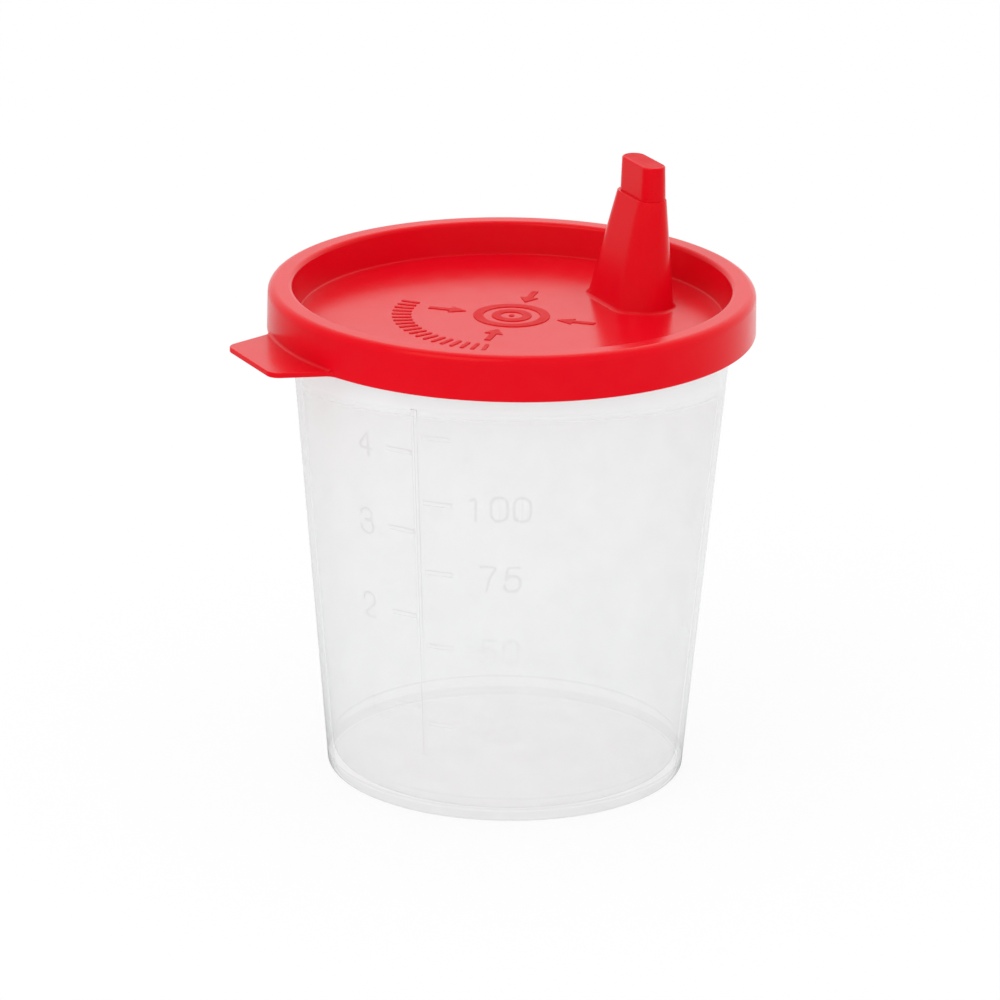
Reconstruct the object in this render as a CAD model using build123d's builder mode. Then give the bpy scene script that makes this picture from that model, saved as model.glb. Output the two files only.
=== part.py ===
from build123d import *
from math import pi
import os

# Urine specimen cup: a thin tapered cup, a snap-on lid with a recessed panel,
# a pull tab and a flat oval pouring spout, and the snap-off tip that closes the spout.
# Millimetres. +Z is up, the origin is on the cup's axis where it rests, and +X is
# the direction of the spout, so the pull tab points along -X.

os.makedirs("parts", exist_ok=True)

# Cup
base_radius = 25.15       # outside of the wall at the resting plane
wall_slope = 0.0869       # lean of the wall, radius gained per mm of height
cup_wall = 0.95           # thickness of the tapered wall, measured level
cup_floor = 1.2           # thickness of the floor
floor_fillet = 1.8        # inside corner between the floor and the wall
base_corner = 0.5
rim_z = 69.3              # top of the rim
neck_step = 1.36          # the neck stands this far out from the wall below it
neck_wall = 0.8
shoulder_rise = 1.0       # height of the step out to the neck
shoulder_fillet = 0.4
bead_depth = 0.6          # the rim bead stands this far proud of the neck
bead_height = 1.9
edge = 0.3                # small chamfer on rim, bead and skirt

# Fit between the cup and the lid
slide_clearance = 0.1     # all round, between every pair of faces that slide
rest_gap = 0.1            # between the cup's rim and the roof of the lid's channel
panel_clearance = 0.4     # between the panel's underside and the cup's shoulder

# Lid
lid_wall = 0.8            # roof of the channel that takes the rim
skirt_wall = 1.0
skirt_height = 6.3
skirt_draft = 0.1         # the skirt is this much narrower at its top
skirt_fillet = 1.15
skirt_corner = 0.2
ridge_depth = 0.2         # snap ridge inside the skirt, just under the rim bead
recess_depth = 4.6        # from the lid's top to the panel
recess_draft = 0.85       # the recess widens by this much towards the lid's top
recess_fillet = 0.7
panel_thickness = 0.9
panel_fillet = 0.3
plug_wall = 1.05
plug_draft = 0.45         # the plug narrows by this much at the panel

# Pull tab
tab_length = 6.45         # beyond the skirt
tab_thickness = 0.75
tab_end_half = 7.0
tab_root_half = 9.6       # half width where the tab meets the skirt
tab_corner = 1.9
tab_root_fillet = 1.6
tab_turn = 0.8            # degrees away from straight across the lid from the spout

# Spout: long axis across the lid, full round ends
spout_margin = 6.53       # from the spout's outer side to the recess wall
spout_length = 15.44
spout_width = 8.94
spout_height = 15.2       # from the panel to the ledge
ledge_length = 9.86
ledge_width = 4.32
ledge_shift = 1.42        # the ledge lies this much further out than the base
spout_wall = 1.0
spout_fillet = 0.35

# Snap-off tip
ledge_rim = 0.3           # width of the ledge left bare round the tip
tip_height = 4.85
tip_shift = 0.18          # the tip stands this much further out than the ledge
tip_draft = 0.14          # the tip is this much smaller all round at its top
tip_fillet = 0.25
outlet_seal = 1.1         # width of the tip's seat round the outlet

# Raised scale on the cup's outside: a spine with marks for fluid ounces on one
# side of it and for 25 ml steps on the other
ounce = 29574.0
step = 25000.0
ounce_count = 4
step_count = 5
spine_azimuth = -142.5
spine_width = 1.05
spine_bottom = 9.0
spine_margin = 3.5        # from the top of the spine to the shoulder
ounce_azimuth = -147.5
step_azimuth = -136.4
mark_length = 4.4
mark_thickness = 0.85
relief = 0.2

# Raised marks on the panel: a target, four arrows that point at it, and a
# curved row of short ribs next to the pull tab
panel_relief = 0.1
outer_ring = 5.35
inner_ring = 2.78
outer_ring_width = 1.39
inner_ring_width = 1.25
target_dot = 0.4
arrow_tail = 12.0
arrow_neck = 8.9
arrow_tip = 6.6
arrow_shaft = 0.9
arrow_head = 2.6
rib_radius = 15.3
rib_length = 2.8
rib_width = 0.6
rib_count = 19
rib_span = 99.0

# Heights
roof_z = rim_z + rest_gap
lid_top = roof_z + lid_wall
skirt_bottom = lid_top - skirt_height
panel_z = lid_top - recess_depth
panel_under = panel_z - panel_thickness
shoulder_z = panel_under - panel_clearance
bead_bottom = rim_z - bead_height
ledge_z = panel_z + spout_height
tip_top_z = ledge_z + tip_height
spine_top = shoulder_z - spine_margin


def wall_radius(z):
    return base_radius + wall_slope * z


def mark_height(volume):
    # height of the liquid's surface in the tapered cup
    floor_radius = wall_radius(cup_floor) - cup_wall
    level_radius = (floor_radius**3 + 3 * wall_slope * volume / pi) ** (1 / 3)
    return cup_floor + (level_radius - floor_radius) / wall_slope


def corner(sketch, r, z):
    return sketch.vertices().sort_by_distance((r, z))[0]


# Radii
neck_radius = wall_radius(shoulder_z) + neck_step
neck_inner = neck_radius - neck_wall
bead_radius = neck_radius + bead_depth
ridge_radius = bead_radius + slide_clearance
skirt_inner = ridge_radius + ridge_depth
skirt_radius = skirt_inner + skirt_wall
plug_radius = neck_inner - slide_clearance
recess_radius = plug_radius - plug_draft - plug_wall
tab_reach = skirt_radius + tab_length

# Places of the spout's sections along X
spout_x = recess_radius - spout_margin - spout_width / 2
ledge_x = spout_x + ledge_shift
tip_x = ledge_x + tip_shift

# Cup
with BuildPart() as cup:
    with BuildSketch(Plane.XZ) as profile:
        with BuildLine():
            Polyline(
                (0, 0),
                (base_radius, 0),
                (wall_radius(shoulder_z), shoulder_z),
                (neck_radius, shoulder_z + shoulder_rise),
                (neck_radius, bead_bottom),
                (bead_radius, bead_bottom + edge),
                (bead_radius, rim_z - edge),
                (bead_radius - edge, rim_z),
                (neck_inner + edge, rim_z),
                (neck_inner, rim_z - edge),
                (neck_inner, shoulder_z - edge + shoulder_rise),
                (wall_radius(shoulder_z - edge) - cup_wall, shoulder_z - edge),
                (wall_radius(cup_floor) - cup_wall, cup_floor),
                (0, cup_floor),
                close=True,
            )
        make_face()
        fillet(corner(profile, wall_radius(cup_floor) - cup_wall, cup_floor), floor_fillet)
        fillet(corner(profile, base_radius, 0), base_corner)
        fillet(corner(profile, wall_radius(shoulder_z), shoulder_z), shoulder_fillet)
        fillet(corner(profile, neck_radius, shoulder_z + shoulder_rise), shoulder_fillet)
    revolve(axis=Axis.Z)

# Scale, cut from a thin cone that hugs the wall
with BuildPart() as scale:
    with BuildSketch(Plane.XZ) as cone:
        with BuildLine():
            Polyline(
                (wall_radius(spine_bottom) - relief, spine_bottom),
                (wall_radius(spine_bottom) + relief, spine_bottom),
                (wall_radius(spine_top) + relief, spine_top),
                (wall_radius(spine_top) - relief, spine_top),
                close=True,
            )
        make_face()
    revolve(axis=Axis.Z)
    with BuildPart(mode=Mode.PRIVATE) as bars:
        spine_middle = (spine_bottom + spine_top) / 2
        spine_height = spine_top - spine_bottom + 2
        with Locations(Rotation(0, 0, spine_azimuth) * Location((wall_radius(spine_middle), 0, spine_middle))):
            Box(8, spine_width, spine_height)
        for volume, marks, azimuth in ((ounce, ounce_count, ounce_azimuth), (step, step_count, step_azimuth)):
            heights = [mark_height(count * volume) for count in range(1, marks + 1)]
            for z in [h for h in heights if spine_bottom < h < spine_top - mark_thickness]:
                with Locations(Rotation(0, 0, azimuth) * Location((wall_radius(z), 0, z))):
                    Box(8, mark_length, mark_thickness)
    add(bars.part, mode=Mode.INTERSECT)

with cup:
    add(scale.part)

# Lid
with BuildPart() as lid:
    with BuildSketch(Plane.XZ) as section:
        with BuildLine():
            Polyline(
                (0, panel_under),
                (plug_radius - plug_draft - panel_thickness / 2, panel_under),
                (plug_radius - plug_draft, panel_under + panel_thickness / 2),
                (plug_radius, roof_z),
                (skirt_inner, roof_z),
                (skirt_inner, bead_bottom - slide_clearance),
                (ridge_radius, bead_bottom - slide_clearance - ridge_depth),
                (ridge_radius, bead_bottom - slide_clearance - 2 * ridge_depth),
                (skirt_inner, bead_bottom - slide_clearance - 4 * ridge_depth),
                (skirt_inner, skirt_bottom + edge),
                (skirt_inner + edge, skirt_bottom),
                (skirt_radius, skirt_bottom),
                (skirt_radius - skirt_draft, lid_top),
                (recess_radius + recess_draft, lid_top),
                (recess_radius, panel_z),
                (0, panel_z),
                close=True,
            )
        make_face()
        fillet(corner(section, skirt_radius - skirt_draft, lid_top), skirt_fillet)
        fillet(corner(section, recess_radius + recess_draft, lid_top), recess_fillet)
        fillet(corner(section, recess_radius, panel_z), panel_fillet)
        fillet(corner(section, skirt_radius, skirt_bottom), skirt_corner)
    revolve(axis=Axis.Z)

    # pull tab, level with the bottom of the skirt
    root_x = (skirt_radius**2 - tab_root_half**2) ** 0.5
    flare = (tab_root_half - tab_end_half) / (tab_reach - root_x)
    with BuildSketch(Plane.XY.offset(skirt_bottom).rotated((0, 0, tab_turn))) as tab:
        with BuildLine():
            Polyline(
                (2 * skirt_wall - root_x, tab_root_half + flare * 2 * skirt_wall),
                (-tab_reach, tab_end_half),
                (-tab_reach, -tab_end_half),
                (2 * skirt_wall - root_x, -tab_root_half - flare * 2 * skirt_wall),
                close=True,
            )
        make_face()
        fillet(tab.vertices().group_by(Axis.X)[0], tab_corner)
        Circle(skirt_radius)
        # out and back again, which rounds the two inside corners at the skirt
        offset(amount=tab_root_fillet)
        offset(amount=-tab_root_fillet)
        Circle(skirt_inner + skirt_wall / 2, mode=Mode.SUBTRACT)
    extrude(amount=tab_thickness)

    # spout, tapering from the panel to the ledge, with straight sides
    with BuildSketch(Plane.XY.offset(panel_z)):
        with Locations((spout_x, 0)):
            SlotOverall(spout_length, spout_width, rotation=90)
    with BuildSketch(Plane.XY.offset(ledge_z)):
        with Locations((ledge_x, 0)):
            SlotOverall(ledge_length, ledge_width, rotation=90)
    loft()
    foot = lid.edges().filter_by_position(Axis.Z, panel_z, panel_z)
    fillet(foot.filter_by(lambda e: abs(e.center().X - spout_x) < spout_width), spout_fillet)

    # passage through the spout, open to the cup below, and the outlet in the ledge
    passage_z = ledge_z - spout_wall
    part_way = (passage_z - panel_z) / spout_height
    passage_length = spout_length + (ledge_length - spout_length) * part_way - 2 * spout_wall
    passage_width = spout_width + (ledge_width - spout_width) * part_way - 2 * spout_wall
    with BuildSketch(Plane.XY.offset(panel_under)):
        with Locations((spout_x, 0)):
            SlotOverall(spout_length - 2 * spout_wall, spout_width - 2 * spout_wall, rotation=90)
    with BuildSketch(Plane.XY.offset(passage_z)):
        with Locations((spout_x + ledge_shift * part_way, 0)):
            SlotOverall(passage_length, passage_width, rotation=90)
    loft(mode=Mode.SUBTRACT)
    seat_length = ledge_length - 2 * ledge_rim
    seat_width = ledge_width - 2 * ledge_rim
    with BuildSketch(Plane.XY.offset(passage_z)):
        with Locations((tip_x, 0)):
            SlotOverall(seat_length - 2 * outlet_seal, seat_width - 2 * outlet_seal, rotation=90)
    extrude(amount=spout_wall, mode=Mode.SUBTRACT)

    # raised marks on the panel
    with BuildSketch(Plane.XY.offset(panel_z)):
        for radius, width in ((outer_ring, outer_ring_width), (inner_ring, inner_ring_width)):
            with BuildSketch(mode=Mode.PRIVATE) as ring:
                Circle(radius)
                Circle(radius - width, mode=Mode.SUBTRACT)
            add(ring.sketch)
        Circle(target_dot)
        with PolarLocations(0, 4, start_angle=45):
            with BuildLine(mode=Mode.PRIVATE) as arrow:
                Polyline(
                    (arrow_tail, arrow_shaft / 2),
                    (arrow_neck, arrow_shaft / 2),
                    (arrow_neck, arrow_head / 2),
                    (arrow_tip, 0),
                    (arrow_neck, -arrow_head / 2),
                    (arrow_neck, -arrow_shaft / 2),
                    (arrow_tail, -arrow_shaft / 2),
                    close=True,
                )
            add(make_face(arrow.edges(), mode=Mode.PRIVATE))
        rib_pitch = rib_span / (rib_count - 1)
        with PolarLocations(rib_radius, rib_count, 180 - rib_span / 2, rib_span):
            Rectangle(rib_length, rib_width)
    extrude(amount=panel_relief)

# Snap-off tip, seated on the spout's ledge over the outlet
with BuildPart() as tip:
    with BuildSketch(Plane.XY.offset(ledge_z)):
        with Locations((tip_x, 0)):
            SlotOverall(seat_length, seat_width, rotation=90)
    with BuildSketch(Plane.XY.offset(tip_top_z)):
        with Locations((tip_x, 0)):
            SlotOverall(seat_length - 2 * tip_draft, seat_width - 2 * tip_draft, rotation=90)
    loft()
    fillet(tip.faces().sort_by(Axis.Z)[-1].edges(), tip_fillet)

cup.part.label = "cup"
lid.part.label = "lid"
tip.part.label = "snap_off_tip"
export_step(cup.part, "parts/cup.step")
export_step(lid.part, "parts/lid.step")
export_step(tip.part, "parts/snap_off_tip.step")
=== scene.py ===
from math import atan, cos, pi, radians, sin, sqrt, tan

import bpy
import bmesh
from mathutils import Matrix, Vector


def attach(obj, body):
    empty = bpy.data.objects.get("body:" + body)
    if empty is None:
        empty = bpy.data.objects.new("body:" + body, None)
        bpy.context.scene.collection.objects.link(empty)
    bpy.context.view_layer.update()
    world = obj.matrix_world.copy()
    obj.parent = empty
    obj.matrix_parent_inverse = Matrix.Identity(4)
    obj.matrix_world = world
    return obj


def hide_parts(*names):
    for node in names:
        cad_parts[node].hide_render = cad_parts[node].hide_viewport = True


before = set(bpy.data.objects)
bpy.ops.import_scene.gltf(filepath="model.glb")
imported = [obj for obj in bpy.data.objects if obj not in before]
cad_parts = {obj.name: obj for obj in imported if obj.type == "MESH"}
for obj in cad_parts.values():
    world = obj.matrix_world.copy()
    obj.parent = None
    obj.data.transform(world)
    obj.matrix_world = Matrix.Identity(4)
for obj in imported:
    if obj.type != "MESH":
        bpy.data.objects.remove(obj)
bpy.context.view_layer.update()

# Urine cup: a natural polypropylene cup, a red polyethylene lid with its pull tab
# and pouring spout, and the tip that snaps off the spout. Shapes are made in
# millimetres and become metres when a piece is finished. +X points at the spout, +Z up.

MM = 0.001

# Cup
base_radius, wall_slope, cup_wall, cup_floor = 25.15, 0.0869, 0.95, 1.2
rim_z, neck_step, neck_wall, shoulder_rise = 69.3, 1.36, 0.8, 1.0
bead_depth, bead_height = 0.6, 1.9
edge = 0.3
base_corner, floor_fillet, shoulder_fillet, rim_corner, bead_corner = 0.5, 1.8, 0.4, 0.2, 0.25
underside_depth, underside_flat, underside_blend, foot_radius = 0.3, 8.0, 6.0, 24.5

# Fit between the cup and the lid
slide_clearance, rest_gap, panel_clearance = 0.1, 0.1, 0.4

# Lid
lid_wall, skirt_wall, skirt_height, skirt_draft = 0.8, 1.0, 6.3, 0.1
ridge_depth, recess_depth, recess_draft = 0.2, 4.6, 0.85
panel_thickness, plug_wall, plug_draft = 0.9, 1.05, 0.45
skirt_fillet, skirt_corner, recess_fillet, panel_fillet = 1.15, 0.2, 0.7, 0.3
plug_corner, channel_corner, ridge_corner, ridge_top_corner, soft_corner = 0.2, 0.12, 0.08, 0.06, 0.1

# Pull tab, with angles in degrees
tab_length, tab_thickness, tab_end_half, tab_root_half = 6.45, 0.75, 7.0, 9.6
tab_corner, tab_root_fillet, tab_turn, tab_edge = 1.9, 1.6, 0.8, 0.14
root_rise, root_bite, root_sunk, root_half_sweep = 0.35, 0.4, 0.3, 16.3

# Spout and tip
spout_margin, spout_length, spout_width, spout_height = 6.53, 15.44, 8.94, 15.2
ledge_length, ledge_width, ledge_shift, spout_wall = 9.86, 4.32, 1.42, 1.0
spout_foot, spout_sunk, foot_start, ledge_lip = 0.45, 0.5, 0.01, 0.12
ledge_rim, tip_height, tip_shift, tip_draft, tip_fillet = 0.3, 4.85, 0.18, 0.14, 0.25
outlet_seal, overcut = 1.1, 1.0

# Raised marks on the panel, with angles in degrees
panel_relief, mark_sunk, mark_bevel, least_spread = 0.1, 0.3, 0.04, 0.35
outer_ring, outer_ring_width, inner_ring, inner_ring_width, target_dot = 5.35, 1.39, 2.78, 1.25, 0.4
arrow_count, arrow_turn, arrow_tail, arrow_neck, arrow_tip = 4, 47, 12.0, 8.9, 6.6
arrow_shaft, arrow_head = 0.9, 2.6
rib_count, rib_span, rib_radius, rib_length, rib_width, rib_corner = 19, 99.0, 15.3, 2.8, 0.6, 0.28

# Raised scale on the cup, with volumes in cubic millimetres and angles in degrees
ounce, step_volume, ounce_count, step_count = 29574.0, 25000.0, 4, 5
relief, sunk, mark_length, mark_foot, mark_draft = 0.16, 0.25, 4.4, 1.0, 0.26
spine_width, spine_bottom, spine_margin = 1.25, 9.0, 3.5
spine_azimuth, ounce_azimuth, step_azimuth, lay_radius = -142.5, -147.5, -136.4, 29.0
stroke_radius, stroke_relief, numeral_height, path_pitch = 0.25, 0.11, 3.55, 0.35
numeral_drop, hundred_drop = 0.15, 0.05

# Heights and radii that follow from them
roof_z = rim_z + rest_gap
lid_top = roof_z + lid_wall
skirt_bottom = lid_top - skirt_height
panel_z = lid_top - recess_depth
panel_under = panel_z - panel_thickness
shoulder_z = panel_under - panel_clearance
bead_bottom = rim_z - bead_height
ledge_z = panel_z + spout_height
passage_z = ledge_z - spout_wall
tip_top_z = ledge_z + tip_height
tab_top = skirt_bottom + tab_thickness
spine_top = shoulder_z - spine_margin


def wall_radius(z):
    return base_radius + wall_slope * z


def mark_height(volume):
    """The height of the liquid's surface in the tapered cup."""
    level_radius = (floor_radius**3 + 3 * wall_slope * volume / pi) ** (1 / 3)
    return cup_floor + (level_radius - floor_radius) / wall_slope


floor_radius = wall_radius(cup_floor) - cup_wall
neck_radius = wall_radius(shoulder_z) + neck_step
neck_inner = neck_radius - neck_wall
bead_radius = neck_radius + bead_depth
ridge_radius = bead_radius + slide_clearance
skirt_inner = ridge_radius + ridge_depth
skirt_radius = skirt_inner + skirt_wall
plug_radius = neck_inner - slide_clearance
recess_radius = plug_radius - plug_draft - plug_wall
tab_reach = skirt_radius + tab_length
spout_x = recess_radius - spout_margin - spout_width / 2
ledge_x = spout_x + ledge_shift
tip_x = ledge_x + tip_shift
seat_length, seat_width = ledge_length - 2 * ledge_rim, ledge_width - 2 * ledge_rim

scene = bpy.context.scene
scene.view_settings.view_transform = "Standard"

# Kinds of nodes used often, their settings, and the usual spread of a noise
maths = "ShaderNodeMath"
vector_maths = "ShaderNodeVectorMath"
mapping = "ShaderNodeMapRange"
mix = "ShaderNodeMix"
sum_of, difference, product, product_plus, quotient, power = [
    {"operation": name} for name in ("ADD", "SUBTRACT", "MULTIPLY", "MULTIPLY_ADD", "DIVIDE", "POWER")
]
less_than, greater_than, near_to, greater_of, less_of = [
    {"operation": name} for name in ("LESS_THAN", "GREATER_THAN", "COMPARE", "MAXIMUM", "MINIMUM")
]
clamped_difference = {"operation": "SUBTRACT", "use_clamp": True}
smooth, of_colours = {"interpolation_type": "SMOOTHSTEP"}, {"data_type": "RGBA"}
noise_spread = {"From Min": 0.3, "From Max": 0.7}


def linear(code):
    """An sRGB hex value as the linear colour that the shaders take."""
    parts = [int(code[i : i + 2], 16) / 255 for i in (1, 3, 5)]
    return [c / 12.92 if c <= 0.04045 else ((c + 0.055) / 1.055) ** 2.4 for c in parts] + [1.0]


def add(tree, kind, settings=(), inputs=()):
    """Adds one node to a shader or geometry tree, with its settings and its values or links."""
    node = tree.nodes.new(kind)
    for name, value in dict(settings).items():
        setattr(node, name, value)
    for name, value in dict(inputs).items():
        if isinstance(value, bpy.types.NodeSocket):
            tree.links.new(value, node.inputs[name])
        else:
            node.inputs[name].default_value = value
    return node


def empty_tree(holder):
    """The node tree of a material or world, switched on and emptied."""
    holder.use_nodes = True
    holder.node_tree.nodes.clear()
    return holder.node_tree


def finish_surface(name):
    """A new material with its tree, its Principled shader and the object's own coordinates."""
    material = bpy.data.materials.new(name)
    tree = empty_tree(material)
    shader = add(tree, "ShaderNodeBsdfPrincipled")
    add(tree, "ShaderNodeOutputMaterial", (), {"Surface": shader.outputs[0]})
    place = add(tree, "ShaderNodeTexCoord").outputs["Object"]
    return material, tree, shader, place


# Polyethylene, for the lid and the tip
def injection_moulded_polyethylene(name, code, deep, roughness, ripple):
    """Low-density polyethylene with red masterbatch, moulded in a polished tool: a waxy
    gloss, a trace of flow in the colour, and a surface that isn't quite flat."""
    material, tree, shader, place = finish_surface(name)
    shader.inputs["IOR"].default_value = 1.51
    shader.inputs["Specular Tint"].default_value = (1.0, 0.4, 0.25, 1.0)
    flow = add(tree, "ShaderNodeTexNoise", (), {"Vector": place, "Scale": 1 / (14 * MM), "Detail": 3.0})
    shades = {0: flow.outputs["Fac"], 6: linear(code), 7: linear(deep)}
    tint = add(tree, mix, of_colours, shades)
    tree.links.new(tint.outputs[2], shader.inputs["Base Color"])
    haze = add(tree, "ShaderNodeTexNoise", (), {"Vector": place, "Scale": 1 / (3 * MM), "Detail": 4.0})
    gloss = {"Value": haze.outputs["Fac"], "To Min": roughness * 0.88, "To Max": roughness * 1.15}
    rough = add(tree, mapping, (), {**noise_spread, **gloss})
    tree.links.new(rough.outputs[0], shader.inputs["Roughness"])
    dents = {"Height": haze.outputs["Fac"], "Strength": ripple, "Distance": 0.02 * MM}
    bump = add(tree, "ShaderNodeBump", (), dents)
    tree.links.new(bump.outputs[0], shader.inputs["Normal"])
    shader.inputs["Subsurface Weight"].default_value = 0.08
    shader.inputs["Subsurface Radius"].default_value = (1.0, 0.25, 0.15)
    shader.inputs["Subsurface Scale"].default_value = 0.6 * MM
    return material


lid_red = injection_moulded_polyethylene("red_polyethylene_moulded", "#E4061E", "#DC041A", 0.21, 0.25)
mark_red = injection_moulded_polyethylene("red_polyethylene_matt_marks", "#DF061D", "#D40419", 0.55, 0.4)
cut_red = injection_moulded_polyethylene("red_polyethylene_dull_end", "#E1061E", "#D8041A", 0.55, 0.6)


# Polypropylene, for the cup: its haze is the shader's alpha, where 1 lets nothing through
slant_haze, outline_haze, floor_haze, slab_haze, crease_haze = 0.12, 0.36, 0.05, 0.03, 0.1
shoulder_haze, band_haze, flank_haze, cloud_haze = 0.14, 0.58, 0.1, 0.02
outer_skin, inner_skin, cool_from = 0.1, 0.05, 45
# Painted colours: a cool tint high up against the lid's red light, painted shade over the solid floor, and
# a painted band of light under the skirt
cool_against_red_light, painted_floor_shade, painted_light_white = "#E8EFF0", "#C4C8CB", "#F4FAFB"


def place_on_wall(tree, place):
    """A point's height, and how far it stands out from the tapered wall, negative inside it."""
    spot = add(tree, "ShaderNodeSeparateXYZ", (), {0: place}).outputs
    wall = add(tree, maths, product_plus, {0: spot["Z"], 1: wall_slope, 2: base_radius * MM})
    level = add(tree, vector_maths, product, {0: place, 1: (1, 1, 0)})
    reach = add(tree, vector_maths, {"operation": "LENGTH"}, {0: level.outputs[0]})
    proud = add(tree, maths, difference, {0: reach.outputs["Value"], 1: wall.outputs[0]})
    return spot["Z"], proud.outputs[0]


def haze_along_the_eye(tree, slant, outer, dense):
    """Adds haze where the eye meets the wall at a slant, and along the outline, where it looks
    through many millimetres of plastic."""
    steep = add(tree, maths, power, {0: slant, 1: 3.0}).outputs[0]
    dense = add(tree, maths, product_plus, {0: steep, 1: slant_haze, 2: dense}).outputs[0]
    outline = {"Value": slant, "From Min": 0.68, "From Max": 0.88, "To Max": outline_haze}
    glance = add(tree, mapping, smooth, outline).outputs[0]
    return add(tree, maths, product_plus, {0: glance, 1: outer, 2: dense}).outputs[0]


def haze_and_painted_shade_of_the_floor(tree, height, inner, dense):
    """Adds the solid floor. Seen from outside it greys the foot of the wall with painted shade up to where
    the eye's line clears the floor, with a painted line of caught light in it; seen from inside it ends at
    the floor. A fine crease shows where the floor's fillet starts."""
    seen_from_outside, drop_from_inside, slab_top = cup_floor + 0.85, 0.8, cup_floor + 0.02
    light_height, light_half, crease_height, crease_half = cup_floor + 0.4, 0.1, cup_floor + 1.9, 0.13
    back = add(tree, "ShaderNodeNewGeometry").outputs["Backfacing"]
    ends = {0: back, 1: -drop_from_inside * MM, 2: seen_from_outside * MM}
    top = add(tree, maths, product_plus, ends).outputs[0]
    solid = add(tree, maths, less_than, {0: height, 1: top}).outputs[0]
    solid = add(tree, maths, clamped_difference, {0: solid, 1: inner}).outputs[0]
    dense = add(tree, maths, product_plus, {0: solid, 1: floor_haze, 2: dense}).outputs[0]
    slab = add(tree, maths, less_than, {0: height, 1: slab_top * MM}).outputs[0]
    slab = add(tree, maths, product, {0: slab, 1: inner}).outputs[0]
    dense = add(tree, maths, product_plus, {0: slab, 1: slab_haze, 2: dense}).outputs[0]
    # a painted line of caught light, cut out of the floor's painted shade
    caught = {0: height, 1: light_height * MM, 2: light_half * MM}
    line = add(tree, maths, near_to, caught).outputs[0]
    floor_shade = add(tree, maths, clamped_difference, {0: solid, 1: line}).outputs[0]
    fold = {0: height, 1: crease_height * MM, 2: crease_half * MM}
    crease = add(tree, maths, near_to, fold).outputs[0]
    crease = add(tree, maths, product, {0: crease, 1: inner}).outputs[0]
    dense = add(tree, maths, product_plus, {0: crease, 1: crease_haze, 2: dense}).outputs[0]
    return floor_shade, dense


def haze_and_light_band_under_the_skirt(tree, height, slant, outer, dense):
    """Adds the dense shoulder, neck and rim, and a painted band of light in the wall just under the
    skirt, which reaches further down where the eye meets the wall at a slant."""
    slant_reach, band_start, band_full, shoulder_start, shoulder_full = 4, -4.4, -2.2, -1, 0.2
    reach_down = {0: slant, 1: slant_reach * MM, 2: height}
    reach_down = add(tree, maths, product_plus, reach_down).outputs[0]
    low, high = (skirt_bottom + band_start) * MM, (skirt_bottom + band_full) * MM
    fade = {"Value": reach_down, "From Min": low, "From Max": high}
    light_band = add(tree, mapping, smooth, fade).outputs[0]
    low, high = (skirt_bottom + shoulder_start) * MM, (skirt_bottom + shoulder_full) * MM
    fade = {"Value": height, "From Min": low, "From Max": high}
    shoulder = add(tree, mapping, smooth, fade).outputs[0]
    dense = add(tree, maths, product_plus, {0: shoulder, 1: shoulder_haze, 2: dense}).outputs[0]
    below = add(tree, maths, difference, {0: 1.0, 1: shoulder}).outputs[0]
    light_band = add(tree, maths, product, {0: light_band, 1: below}).outputs[0]
    # in the painted band of light the outer skin turns denser, so that its painted white shows
    bright = add(tree, maths, product, {0: outer, 1: band_haze}).outputs[0]
    return light_band, add(tree, mix, (), {0: light_band, 2: dense, 3: bright}).outputs[0]


def flanks_of_marks(tree, height, proud):
    """How strongly the painted shade on the flanks of a raised mark shows. It fades out low
    and high on the wall."""
    shares = []
    for value, start, end, low, high in (
        (proud, 0.125, 0.145, 1.0, 0.15),
        (proud, 0.105, 0.12, 0.8, 1.0),
        (height, 25, 30.5, 0.15, 1.0),
        (height, 55.2, 56.2, 1.0, 0.25),
    ):
        span = {"Value": value, "From Min": start * MM, "From Max": end * MM, "To Min": low, "To Max": high}
        shares.append(add(tree, mapping, (), span).outputs[0])
    flank, foot, low_fade, high_fade = shares
    flank = add(tree, maths, product, {0: flank, 1: foot}).outputs[0]
    flank_fade = add(tree, maths, less_of, {0: low_fade, 1: high_fade}).outputs[0]
    return add(tree, maths, product, {0: flank, 1: flank_fade}).outputs[0]


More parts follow.
